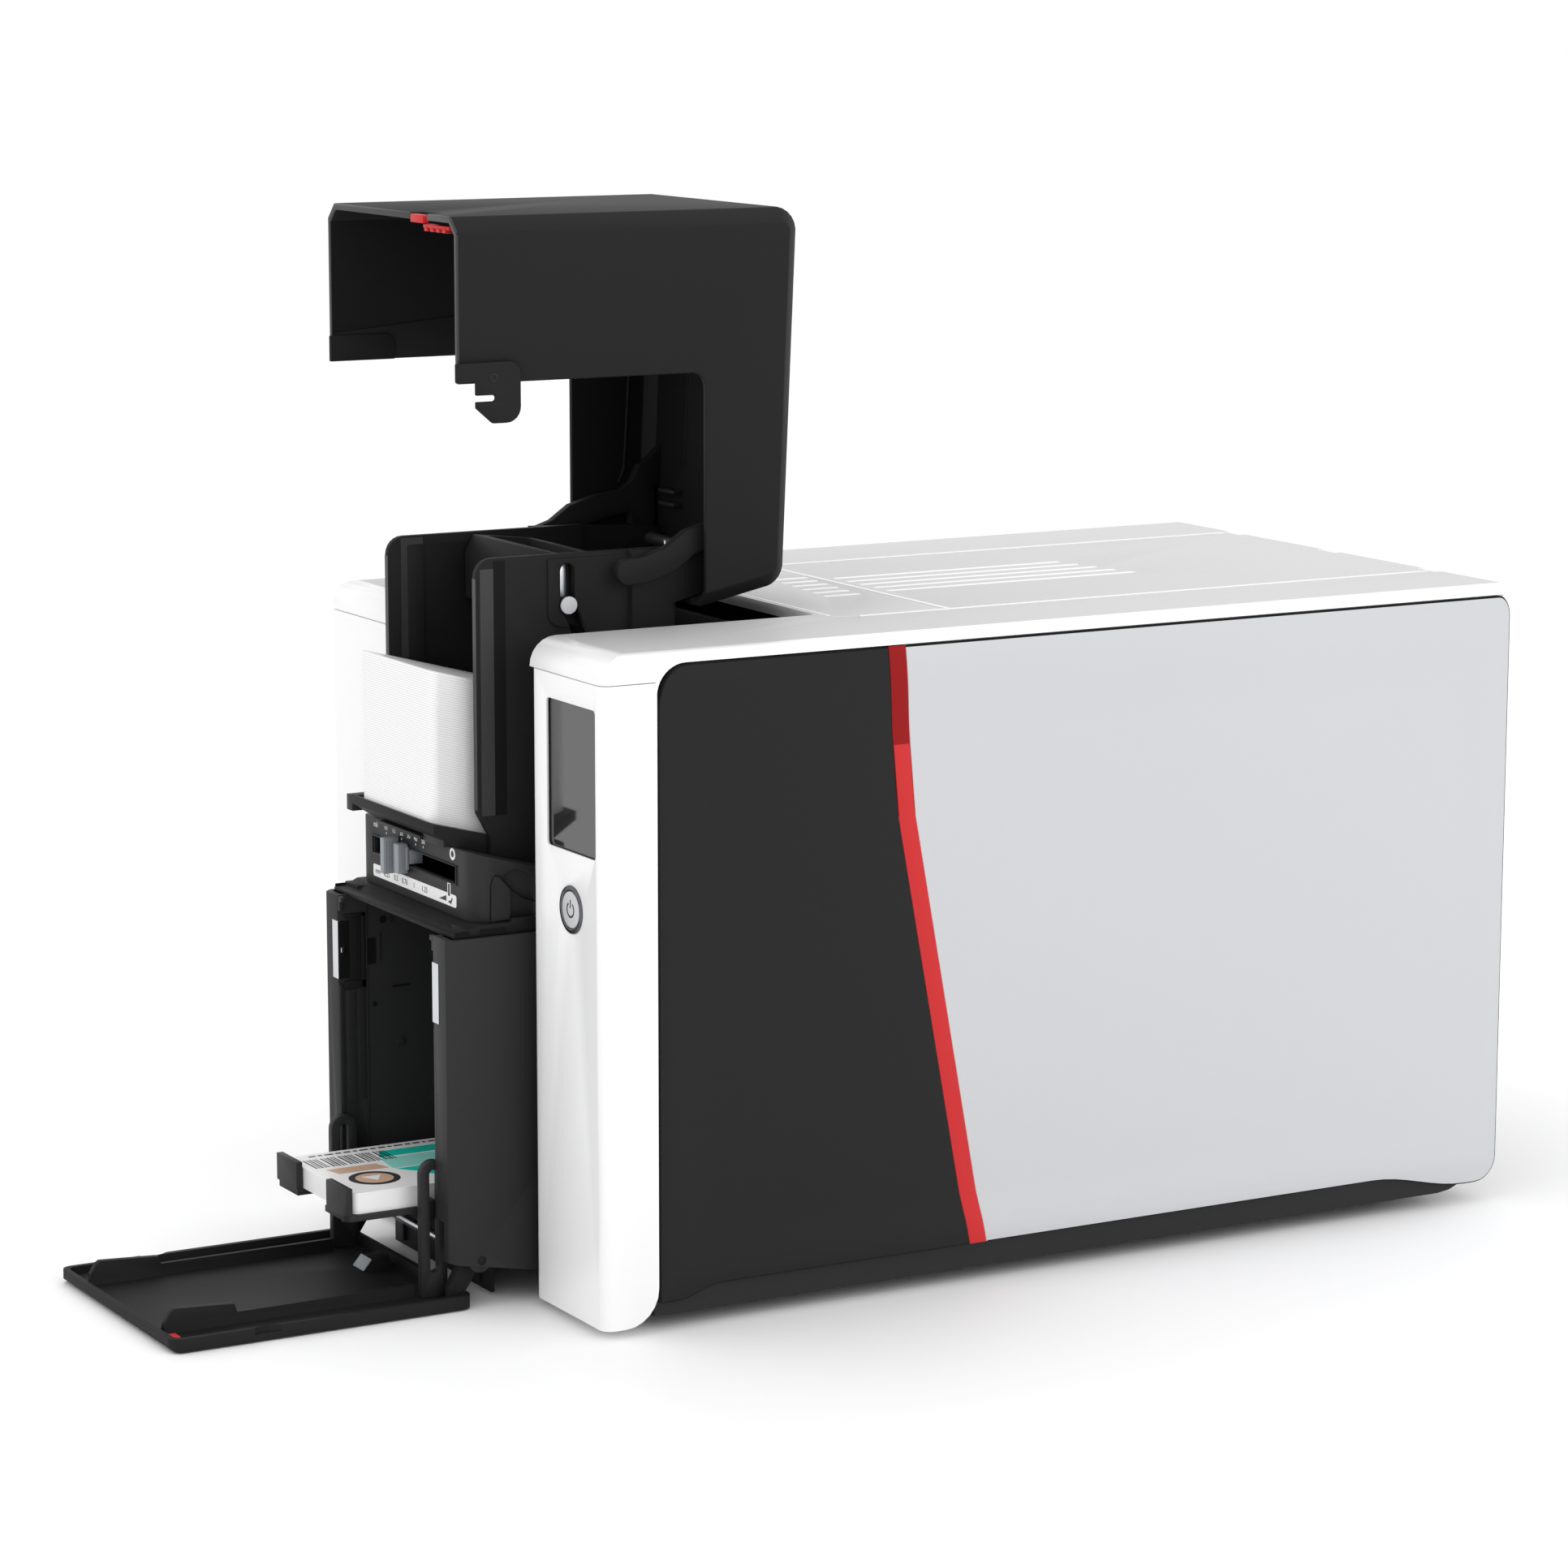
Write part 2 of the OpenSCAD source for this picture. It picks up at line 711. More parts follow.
module button_ring() {
    color([0.35, 0.35, 0.37]) on_table() translate([screen_x, 0, button_z]) rotate([-90, 0, 0])
        translate([0, 0, -0.5]) difference() {
            cylinder(h = wall_t, d = button_d + 2 * ring_w);
            translate([0, 0, -cut]) cylinder(h = wall_t + 2 * cut, d = button_d + 4 * fit);
        }
}

module power_button() {
    color([0.92, 0.92, 0.92]) on_table() translate([screen_x, -0.4, button_z]) rotate([-90, 0, 0])
        cylinder(h = 2.4, d = button_d);
}

// ---------------------------------------------------------------- feeder

module feeder_wall_outline() {
    corner_r = 6;
    low_y = feeder_front_y + 4.4;
    rear = feeder_rear_y + feeder_wall;
    polygon(concat(
        [[rear, gauge_top_at(rear)], [rear, feeder_top_z]],
        arc([feeder_front_y + corner_r, feeder_top_z - corner_r], corner_r, 90, 180),
        [[feeder_front_y, floor_z + 3], [low_y, floor_z - 5], [low_y, gauge_top_at(low_y)]]));
}

module weight_slot() {
    r = weight_pin_r + slip;
    // Parking slot above the pin, then the leaning track down to the cards
    translate([weight_y, weight_z]) circle(r);
    translate([weight_y - r, weight_z]) square([2 * r, 11]);
    translate([weight_y, weight_z + 11]) circle(r);
    translate([weight_y, weight_z]) rotate(slot_lean - 90) {
        translate([0, -r]) square([weight_travel + 1, 2 * r]);
        translate([weight_travel + 1, 0]) circle(r);
    }
}

module feeder_frame() {
    outer = feeder_half + feeder_wall;
    pad = 0.8;
    ear_y = feeder_rear_y - 15;
    color(black) on_table() {
        both_sides() difference() {
            union() {
                across(feeder_half, outer) feeder_wall_outline();
                // Raised field round the track of the weight
                across(outer, outer + pad) polygon(concat(
                    [[56, feeder_top_z - 1.5], [weight_y - 7, feeder_top_z - 1.5]],
                    arc([weight_y - 2, weight_z - 2], 5, 180, 270),
                    arc([weight_y - 2, weight_z - 16], 9, 90, 0), [[weight_y + 7, 190], [56, 190]]));
                // Ear for the hood's hinge
                across(outer, outer + ear_t) polygon([[ear_y, feeder_top_z],
                    [hood_pin_y, hood_pin_z + hood_eye_r], [hood_pin_y, hood_pin_z - hood_eye_r],
                    [feeder_rear_y, hood_pin_z - 11.6], [feeder_rear_y, hood_pin_z - 30],
                    [ear_y, hood_pin_z - 30]]);
                rod(outer, arm_x - slip, hood_pin_y, hood_pin_z, hood_eye_r);
            }
            across(feeder_half - cut, outer + pad + cut) weight_slot();
            rod(0, half_w, hood_pin_y, hood_pin_z, hood_pin_r + fit);
        }
        // Rear wall above the slot through which the lowest card leaves
        block([-feeder_half, feeder_rear_y, floor_at(feeder_rear_y) + 4],
            [feeder_half, feeder_rear_y + feeder_wall, hood_pin_z - 11.6]);
        both_sides() for (y = [-3, 40])
            block([feeder_half - 0.6, y, floor_at(y) + 2], [feeder_half, y + 5.8, feeder_top_z - 3]);
    }
}

module feeder_floor() {
    lip_y = -stack_front - 1.2;
    lip_t = 3;
    color(black) on_table() {
        difference() {
            union() {
                across(-feeder_half + slip, feeder_half - slip) polygon([
                    [lip_y, floor_at(lip_y)], [feeder_rear_y - 1, floor_at(feeder_rear_y - 1)],
                    [feeder_rear_y - 1, gauge_top_at(feeder_rear_y - 1)],
                    [-gauge_front, gauge_top_z], [lip_y, floor_at(lip_y) - lip_t]]);
                // Bearings of the feed roller's shaft
                both_sides() {
                    block([19, feed_axis.x - 4, feed_axis.y],
                        [22.5, feed_axis.x + 4, floor_at(feed_axis.x) - 2]);
                    rod(19, 22.5, feed_axis.x, feed_axis.y, 4);
                }
            }
            // Window and shaft bore of the feed roller
            block([-19, feed_roller_y - 12, path_z], [19, feed_roller_y + 8, floor_z]);
            rod(-22.5, 22.5, feed_axis.x, feed_axis.y, shaft_d / 2 + fit);
        }
    }
}

module feed_roller() {
    color([0.12, 0.12, 0.12]) on_table() {
        for (x = [-17, 5]) rod(x, x + 12, feed_axis.x, feed_axis.y, roller_d / 2);
        rod(-22, 22, feed_axis.x, feed_axis.y, shaft_d / 2);
    }
}

module card_plan(l) {
    rounded([-card_w / 2, 0], [card_w / 2, l], card_r);
}

module blank_cards() {
    l = card_l * cos(feed_tilt);
    color([0.97, 0.97, 0.97]) on_table() intersection() {
        translate([0, -stack_front, 0]) upward(0, floor_z + stack_h + cut) card_plan(l);
        across(-card_w, card_w) polygon([
            [-stack_front - cut, floor_at(-stack_front - cut)],
            [l, floor_at(l)], [l, floor_at(l) + stack_h],
            [-stack_front - cut, floor_at(-stack_front - cut) + stack_h]]);
    }
}

module card_weight() {
    half = feeder_half - 2 * slip - 0.6;
    low_front = weight_z - 5;
    rear = weight_y + 20;
    color(black) on_table() {
        difference() {
            across(-half, half) polygon([
                [weight_y - 2, feeder_top_z - 0.6], [weight_y - 5, feeder_top_z - 6],
                [weight_y - 5, low_front], [rear, low_front - (rear - weight_y + 5) * tan(feed_tilt)],
                [rear, feeder_top_z - 3]]);
            // Hand hollow in the top
            block([-half + 3, weight_y + 2, weight_z + 4], [half - 3, rear - 3, feeder_top_z + cut]);
        }
        both_sides() rod(half, feeder_half + feeder_wall + 1.4, weight_y, weight_z, weight_pin_r);
    }
}

module gauge_plan(inset) {
    r = 6.5 - inset;
    face = gauge_face_w / 2;
    polygon(concat(
        [[-gauge_half + inset, feeder_rear_y - inset]],
        arc([-gauge_half + inset + r, -gauge_front + inset + r], r, 180, 270),
        arc([gauge_half - inset - r, -gauge_front + inset + r], r, 270, 360),
        [[gauge_half - inset, feeder_rear_y - inset]]));
}

module gauge_housing() {
    shell = 2.2;
    base = hopper_top_z + 1.8;
    color(dark_grey) on_table() difference() {
        intersection() {
            upward(base, gauge_top_z) gauge_plan(0);
            across(-gauge_half, gauge_half) polygon([[-gauge_front, base], [feeder_rear_y, base],
                [feeder_rear_y, gauge_top_at(feeder_rear_y)], [-gauge_front, gauge_top_z]]);
        }
        intersection() {
            upward(base - cut, gauge_top_z) gauge_plan(shell);
            across(-gauge_half, gauge_half) polygon([
                [-gauge_front, base - cut], [feeder_rear_y, base - cut],
                [feeder_rear_y, gauge_top_at(feeder_rear_y) - shell], [-gauge_front, gauge_top_z - shell]]);
        }
        along(-gauge_front - cut, -gauge_front + shell + cut)
            translate(gauge_slot[0]) square(gauge_slot[1] - gauge_slot[0]);
        // Opening over the feed roller
        block([-23.5, feed_roller_y - 14, base + 4], [23.5, feed_roller_y + 10, gauge_top_z]);
        // Finger arches in both flanks
        for (s = [-1, 1]) across(s * gauge_half - 1.2, s * gauge_half + 1.2) {
            translate([-8, base - cut]) square([13, 11]);
            translate([-1.5, base + 10]) circle(6.5);
        }
    }
}

module gauge_slider() {
    y = -gauge_front;
    low = gauge_slot[0].y - 2.6;
    high = gauge_slot[1].y + 1.4;
    color([0.51, 0.54, 0.57]) on_table() {
        block([-23.5, y - 1.6, low], [-10, y - 0.1, high]);
        along(y - 7, y - 1.6) rounded([-15, low + 0.6], [-10.4, high - 0.6], 1);
        block([-23.5, y - 0.1, gauge_slot[0].y + slip], [-4, y + 5, gauge_slot[1].y - slip]);
    }
}

// ---------------------------------------------------------------- hood

function hood_centre_z() = (hood_corner_r + sin(foot_lean) * (hood_back_d - hood_corner_r / cos(hood_lean)
    - hood_top_z * tan(hood_lean)) + cos(foot_lean) * (hood_top_z - hood_back_h))
    / (cos(foot_lean) - sin(foot_lean) * tan(hood_lean));

// Rear face of the hood at a given height, moved in by a wall
function hood_rear_at(z, inset) = hood_rear_y - (hood_top_z - z) * tan(hood_lean) - inset / cos(hood_lean);

// Centres of the two rear corners
function hood_centres() = [for (z = [hood_top_z - hood_corner_r, hood_centre_z()])
    [hood_rear_at(z, hood_corner_r), z]];

// Everything on the inner side of a face with bevelled long edges; the face looks to the
// given angle and touches the round corner about the centre
module hood_face(centre, facing, inset) {
    half = hood_half - inset;
    bevel = hood_bevel - inset * 0.6;
    reach = 2 * hood_back_h;
    translate([0, centre.x, centre.y]) rotate([facing, 0, 0])
        translate([0, hood_corner_r - inset, -reach]) linear_extrude(2 * reach)
            polygon([[-half, -2 * reach], [half, -2 * reach], [half, -bevel], [half - bevel, 0],
                [bevel - half, 0], [-half, -bevel]]);
}

// Side view of the open hood before its rear corners are rounded: an L over the feeder
module hood_outline(inset) {
    notch_r = 5;
    high = hood_top_z + cut;
    low = hood_top_z - hood_back_h - cut;
    if (inset > 0)
        polygon([[hood_front_y - cut, hood_arm_z - notch_r - cut], [hood_front_y - cut, high],
            [hood_rear_y, high], [hood_rear_y, low], [hood_back_y - cut, low],
            [hood_back_y - cut, hood_arm_z - notch_r - cut]]);
    else
        polygon(concat(
            [[hood_front_y, hood_arm_z], [hood_front_y, high], [hood_rear_y, high], [hood_rear_y, low],
             [hood_back_y, low]],
            arc([hood_back_y - notch_r, hood_arm_z - notch_r], notch_r, 0, 90)));
}

module hood_solid(inset) {
    top = hood_centres()[0];
    foot = hood_centres()[1];
    steps = 6;
    intersection() {
        across(inset - hood_half, hood_half - inset) hood_outline(inset);
        intersection_for(i = [0:steps])
            hood_face(top, 90 - (90 + hood_lean) * i / steps, inset);
        intersection_for(i = [1:steps])
            hood_face(foot, -hood_lean - (90 - foot_lean - hood_lean) * i / steps, inset);
    }
}

module hood() {
    rib = [hood_top_z - 90, hood_top_z - 12];
    color(black) on_table() {
        difference() {
            hood_solid(0);
            hood_solid(hood_t);
            // Seat of the latch in the front edge
            block([latch_x[0] - slip, hood_front_y - cut, hood_top_z - 3.4],
                [latch_x[1] + slip, hood_front_y + 5.5, hood_top_z + cut]);
        }
        // Ribs inside the rear face
        for (x = [-22, 20]) across(x, x + 1.6) polygon([
            [hood_rear_at(rib[0], hood_t + 1), rib[0]], [hood_rear_at(rib[0], hood_t - slip), rib[0]],
            [hood_rear_at(rib[1], hood_t - slip), rib[1]], [hood_rear_at(rib[1], hood_t + 1), rib[1]]]);
    }
}

module hood_latch() {
    z = hood_top_z - 3.1;
    color(stripe_red) on_table() {
        block([latch_x[0], hood_front_y, z], [latch_x[1], hood_front_y + 2.4, hood_top_z - 0.4]);
        block([latch_x[0] + 1, hood_front_y + 2.4, z - 2.2], [latch_x[1] + 14, hood_front_y + 5, z - 0.3]);
        for (i = [0:2]) let (x = latch_x[1] + 2 + 4.4 * i)
            block([x, hood_front_y + 1.4, z - 4.6], [x + 2.4, hood_front_y + 5, z - 2.2]);
        block([latch_x[0] + 1, hood_front_y + 1.9, z - 2.2], [latch_x[1] - 1, hood_front_y + 2.4, z]);
    }
}

// Plates at the mouth of the hood: the right one ends in a hook, the left one lies inside
module hood_hook() {
    front = hood_front_y - 1.2;
    low = hood_arm_z + 0.6;
    high = low + 8;
    color(black) on_table() {
        across(hood_half, hood_half + hook_t) difference() {
            polygon(concat(
                [[front, low], [front, low + 6]],
                arc([front + 18.2, low + 1.8], 4.4, 90, 0),
                arc([front + 17.6, low - 8.3], 5, 0, -90),
                [[front + 12.7, low - 13.3], [front + 6.9, low - 8.3], [front + 6.9, low]]));
            slot([front + 5.7, low - 5.3], [front + 12.7, low - 5.3], 2);
        }
        across(hood_t - hood_half, hood_t - hood_half + hook_t) polygon(concat(
            [[front, low - 0.6], [front, high]],
            arc([front + 20, high - 3.4], 3.4, 90, 0), [[front + 23.4, low - 0.6]]));
    }
}

// Direction of a line through points at one of them
function heading(p, i) = let (d = p[min(i + 1, len(p) - 1)] - p[max(i - 1, 0)]) d / norm(d);

// Band of even width along a line of points
module band(p, w) {
    polygon(concat(
        [for (i = [0:len(p) - 1]) p[i] + w / 2 * [-heading(p, i).y, heading(p, i).x]],
        [for (i = [len(p) - 1:-1:0]) p[i] - w / 2 * [-heading(p, i).y, heading(p, i).x]]));
}

// Goose-neck arms: from a free tip up and back into the rear face, with an eye for the pin
module hood_arms() {
    pin = [hood_pin_y, hood_pin_z];
    root = [for (z = [hood_pin_z + 17, hood_pin_z + 31]) [hood_rear_at(z, hood_t + fit), z]];
    bend = [-33, 3.7];
    rise = [-26, 8.6];
    crest = [-16.5, 11.2];
    dip = [-7, 12.6];
    color(black) on_table() both_sides() difference() {
        across(arm_x, arm_x + arm_t) {
            translate(pin + neck_tip) circle(d = neck_w);
            translate(pin) band([neck_tip, neck_tip + [6.4, 0.5], bend, rise, crest, dip,
                [-1, 16.5], [2.5, 23]], neck_w);
            polygon([pin + [-2, 16], root[0], root[1], pin + [-1, 24]]);
            // Web and eye round the pin
            translate(pin) circle(hood_eye_r);
            polygon([pin + [-hood_eye_r, 0], pin + [hood_eye_r, 0],
                pin + [hood_eye_r, 16], pin + [-hood_eye_r, 12]]);
        }
        rod(0, half_w, hood_pin_y, hood_pin_z, hood_pin_r + fit);
    }
}

module hood_hinge_pin() {
    end = arm_x + arm_t + 2 * slip;
    color(steel) on_table() rod(-end, end, hood_pin_y, hood_pin_z, hood_pin_r);
}

// ---------------------------------------------------------------- hopper and tray

module hopper() {
    half = hopper_w / 2;
    rear = hopper_d - hopper_front;
    top = hopper_top_z - 1.8;
    exit_low = path_z - 12;
    color(dark_grey) on_table() {
        both_sides() difference() {
            union() {
                // Outer and inner skins with the front flange between them
                intersection() {
                    upward(hopper_bottom_z - 7, top) difference() {
                        polygon([[cavity_half, -hopper_front], [half - 2.4, -hopper_front],
                            [half, 2.4 - hopper_front], [half, rear], [cavity_half, rear]]);
                        translate([cavity_half + hopper_skin, 2.4 - hopper_front])
                            square([half - cavity_half - 2 * hopper_skin, rear + hopper_front]);
                    }
                    across(0, half_w) polygon([[-hopper_front, hopper_bottom_z], [-hopper_front, top],
                        [rear, top], [rear, hopper_bottom_z - 6], [4, hopper_bottom_z - 6]]);
                }
                rod(lug_x + lug_t + slip, half - hopper_skin / 2, door_pin_y, door_pin_z, 4.2);
            }
            rod(0, half + cut, door_pin_y, door_pin_z, door_pin_r + fit);
            // Way of the door's lugs through the flange
            block([lug_x - slip, -hopper_front - cut, hopper_bottom_z - 8],
                [lug_x + lug_t + slip, 3.2 - hopper_front, hopper_bottom_z + 13]);
        }
        difference() {
            block([-cavity_half, rear - hopper_skin, hopper_bottom_z], [cavity_half, rear, top]);
            block([-card_w / 2 - 2, rear - hopper_skin - cut, exit_low],
                [card_w / 2 + 2, rear + cut, top + cut]);
        }
        block([-cavity_half, -8, hopper_bottom_z],
            [cavity_half, rear - hopper_skin, hopper_bottom_z + 2.4]);
        // Rail that carries the tray
        block([-rail_half, -8, hopper_bottom_z + 2.4], [rail_half, rear - hopper_skin, tray_z - 2 - slip]);
    }
}

module hopper_cap() {
    half = hood_half - hood_t - slip;
    rear = hopper_d - hopper_front;
    low = hopper_top_z - 1.8;
    high = hopper_top_z + 1.8;
    front = 3 - hopper_front;
    color(black) on_table() {
        difference() {
            across(-half, half) polygon([[front, low], [front, low + 1.4], [front + 4, low + 1.5],
                [-gauge_front, high],
                [rear, high], [rear, low]]);
            block([-card_w / 2 - 2, 30, low - cut], [card_w / 2 + 2, rear - 8, high + cut]);
            // Way of the plate inside the hood's left wall
            block([-half - cut, hood_pin_y + hood_pin_z - hood_arm_z - 10, low - cut],
                [hood_t + hook_t + slip - hood_half, hood_pin_y + hood_pin_z - hood_arm_z + 2, high + cut]);
        }
        both_sides() {
            block([cavity_half - 1, front + 4, low + 1.4], [half, front + 9, hopper_top_z + 1]);
            block([gauge_half + slip, -4, high], [half, 8, high + 1.2]);
        }
    }
}

module leaf_springs() {
    x = cavity_half;
    low = hopper_top_z - 30.4;
    high = hopper_top_z - 10.5;
    mid = (low + high) / 2;
    leaf = 0.5;
    color(steel) on_table() both_sides() {
        block([x - leaf, -hopper_front - slip + 0.1, low], [x, 4 - hopper_front, high]);
        block([x, -hopper_front - slip + 0.1, low], [x + 4, -hopper_front, high]);
        translate([x - 0.9, 1.5 - hopper_front, mid]) cylinder(h = 1.6, r = 0.9, center = true);
    }
}

module hopper_door() {
    rim_t = 2;
    low = door_lift;
    high = door_lift + door_rim;
    tip_y = -door_reach;
    corner_r = 4;
    floor_top = low + door_skin;
    rail_x = slot_arm_x - 2;
    tab_h = 8;
    color(black) on_table() {
        difference() {
            intersection() {
                upward(low, high) rounded([-door_half, tip_y], [door_half, door_rear_y], corner_r);
                // Rounded outer edge at the tip
                across(-door_half, door_half) polygon(concat(
                    arc([tip_y + 2.4, low + 2.4], 2.4, 180, 270),
                    [[door_rear_y, low], [door_rear_y, high], [tip_y, high]]));
            }
            upward(floor_top, high + cut) rounded([-door_half + rim_t, tip_y + rim_t],
                [door_half - rim_t, door_rear_y - rim_t], corner_r - rim_t / 2);
            // Grip hollows in the side edges
            for (s = [-1, 1]) translate([s * (door_half + 5), tip_y + 33, low + 2.2])
                cylinder(h = door_rim, r = 7);
        }
        both_sides() {
            block([rail_x, tip_y + 4, floor_top], [rail_x + 1.6, -34, high + 1.4]);
            // Catch tab that snaps behind the leaf spring
            across(rail_x - 0.8, rail_x + 1.6) polygon([[tip_y + 4, high + 1.2],
                [tip_y + 6, floor_top + tab_h - 1], [tip_y + 7.5, floor_top + tab_h],
                [tip_y + 28, floor_top + tab_h - 1.2], [tip_y + 29, high + 1.2]]);
            across(rail_x - 0.8, rail_x) polygon([[tip_y + 3.2, floor_top], [tip_y + 4, high + 1.2],
                [tip_y + 29, high + 1.2], [tip_y + 30, floor_top]]);
            // Hinge lug
            difference() {
                across(lug_x, lug_x + lug_t) {
                    translate([door_pin_y, door_pin_z]) circle(4);
                    polygon([[door_rear_y - rim_t - 4, floor_top], [door_rear_y - rim_t, floor_top],
                        [door_pin_y + 1.6, door_pin_z - 4], [door_pin_y - 1, door_pin_z + 3.6],
                        [door_pin_y - 4, door_pin_z], [door_rear_y - rim_t - 4, high + 2]]);
                }
                rod(0, half_w, door_pin_y, door_pin_z, door_pin_r + fit);
            }
        }
        // Small stop near the hinge
        across(-10, -2) polygon([[-36, floor_top], [-33, floor_top + 3.6], [-27, floor_top + 4.4],
            [-25, floor_top]]);
    }
}

module door_arms() {
    low = door_lift + door_skin;
    high = low + arm_h;
    front = -33;
    w = 9.4;
    color(dark_grey) on_table() both_sides() across(slot_arm_x, slot_arm_x + slot_arm_t) difference() {
        union() {
            translate([front, low]) square([w, high - low - w / 2]);
            translate([front + w / 2, high - w / 2]) circle(d = w);
        }
        slot([front + w / 2, low + 10], [front + w / 2, high - w / 2], 3);
    }
}

module door_hinge_pin() {
    color(steel) on_table()
        rod(-hopper_w / 2 + 0.6, hopper_w / 2 - 0.6, door_pin_y, door_pin_z, door_pin_r);
}

module card_tray() {
    front = -tray_front;
    low = tray_z - 2;
    finger_t = 2.2;
    rear = card_l - tray_front + finger_t - 8;
    color(dark_grey) on_table() {
        difference() {
            upward(low, tray_z) rounded([-tray_half, front], [tray_half, rear], 3);
            // Thumb cut-out between the fingers
            upward(low - cut, tray_z + cut) {
                translate([-11, front - cut]) square([22, 12]);
                translate([0, front + 11]) circle(11);
            }
        }
        both_sides() {
            block([12, front, tray_z], [28, front + finger_t, tray_z + 9]);
            block([rail_half + slip, -18, low - 5], [rail_half + slip + 2, rear - 6, low]);
            // Boss that follows the slot of the door's arm
            block([tray_half, -30.5, low - 1], [slot_arm_x - slip, -26, tray_z + 3]);
        }
    }
}

module printed_cards() {
    color([0.75, 0.9, 0.87]) on_table() translate([0, 2.2 + 0.4 - tray_front, 0])
        upward(tray_z, tray_z + printed_h) card_plan(card_l);
}

// ---------------------------------------------------------------- print engine

module engine_plates() {
    top = spool_z + 24;
    waist = path_z + 28;
    color(steel) on_table() {
        both_sides() difference() {
            across(engine_half, engine_half + plate_t) difference() {
                polygon([[plate_front_y, plate_z], [plate_rear_y, plate_z], [plate_rear_y, waist],
                    [supply_y + 16, top], [supply_y - 16, top], [platen_y + 24, waist],
                    [platen_y - 24, waist], [takeup_y + 14, top], [takeup_y - 14, top],
                    [plate_front_y, waist]]);
                translate([plate_front_y + 20, plate_z + 10]) square([50, 30]);
            }
            for (p = shaft_list()) rod(0, half_w, p[0], p[1], p[2] + fit);
        }
        // Cross stays tie the plates together
        for (y = [plate_front_y + 4, plate_rear_y - 8])
            block([-engine_half, y, plate_z], [engine_half, y + plate_t, plate_z + 22]);
        // Feet of the plates on the housing floor
        both_sides() for (y = [plate_front_y + 2, plate_rear_y - 12])
            block([engine_half + plate_t, y, housing_z + wall_t],
                [engine_half + plate_t + 8, y + 10, plate_z + 6]);
    }
}

// Shafts through the plates: y, z, radius
function shaft_list() = [
    [entry_y, roller_z(roller_d), shaft_d / 2],
    [platen_y, roller_z(platen_d), shaft_d / 2],
    [exit_y, roller_z(roller_d), shaft_d / 2],
    [entry_y, path_z + card_t + pinch_r + 0.1, 2], [exit_y, path_z + card_t + pinch_r + 0.1, 2],
    [takeup_y, spool_z, 4], [supply_y, spool_z, 4], [motor_y, motor_z, 6]];

function roller_z(d) = path_z - d / 2 - 0.1;

// Rubber roller on its shaft, with a toothed wheel outside the right plate
module geared_roller(y, d, rubber) {
    z = roller_z(d);
    end = engine_half + plate_t;
    color(rubber) on_table() rod(-32, 32, y, z, d / 2);
    color(steel) on_table() {
        rod(-end - 2, -32, y, z, shaft_d / 2);
        rod(32, end + 1, y, z, shaft_d / 2);
    }
    color([0.9, 0.9, 0.86]) on_table() translate([end + 1, y, z]) rotate([0, 90, 0])
        toothed_wheel(d, wheel_w);
}

// Belt wheel with straight-flanked teeth; its radius is the diameter of the roller it turns
module toothed_wheel(r, h) {
    teeth = 2 * r / gear_m;
    linear_extrude(h) {
        circle(r - gear_m);
        for (i = [0:teeth - 1]) rotate(360 / teeth * i)
            polygon([[r - 2 * gear_m, -gear_m * 0.75], [r + gear_m * 0.6, -gear_m * 0.3],
                [r + gear_m * 0.6, gear_m * 0.3], [r - 2 * gear_m, gear_m * 0.75]]);
    }
}

module cleaning_roller() { geared_roller(entry_y, roller_d, [0.75, 0.3, 0.35]); }
module platen() { geared_roller(platen_y, platen_d, [0.15, 0.15, 0.15]); }
module exit_roller() { geared_roller(exit_y, roller_d, [0.15, 0.15, 0.15]); }

// Idle roller that presses the card on the driven one below
module pinch_roller(y) {
    z = path_z + card_t + pinch_r + 0.1;
    color(steel) on_table() {
        rod(-engine_half - plate_t, engine_half + plate_t, y, z, 2);
        for (x = [-26, 14]) rod(x, x + 12, y, z, pinch_r);
    }
}

module entry_pinch() { pinch_roller(entry_y); }
module exit_pinch() { pinch_roller(exit_y); }

module drive_motor() {
    end = engine_half;
    color([0.25, 0.25, 0.27]) on_table() {
        along(motor_y - motor_half, motor_y + motor_half)
            rounded([end - 40, motor_z - motor_half], [end - 1, motor_z + motor_half], 3);
        rod(end - 1, end, motor_y, motor_z, 5.5);
    }
}

module motor_pinion() {
    end = engine_half + plate_t;
    color([0.8, 0.7, 0.4]) on_table() translate([end + 1, motor_y, motor_z]) rotate([0, 90, 0])
        toothed_wheel(pinion_r, wheel_w);
    color(steel) on_table() rod(end - 1, end + 1, motor_y, motor_z, 2.5);
}

// Wheels inside the belt, counterclockwise: y, z, radius
function belt_wheels() = [[motor_y, motor_z, pinion_r], [exit_y, roller_z(roller_d), roller_d],
    [platen_y, roller_z(platen_d), platen_d], [entry_y, roller_z(roller_d), roller_d]];

// Direction in which the belt's straight run from wheel a to wheel b faces
function run_normal(a, b) = atan2(b.y - a.y, b.x - a.x) - acos((a.z - b.z) / norm([b.x - a.x, b.y - a.y]));

function belt_outline(grow) = let (w = belt_wheels(), n = len(w)) [for (i = [0:n - 1])
    let (from = run_normal(w[(i + n - 1) % n], w[i]), to = run_normal(w[i], w[(i + 1) % n]),
    turn = (to - from + 360) % 360)
    each arc([w[i].x, w[i].y], w[i].z + grow, from, from + turn, ceil(turn / 8))];

module drive_belt() {
    x = engine_half + plate_t + 1;
    over_teeth = gear_m * 0.6 + slip;
    color([0.1, 0.1, 0.1]) on_table() across(x, x + wheel_w) difference() {
        polygon(belt_outline(over_teeth + 1.2));
        polygon(belt_outline(over_teeth));
    }
}

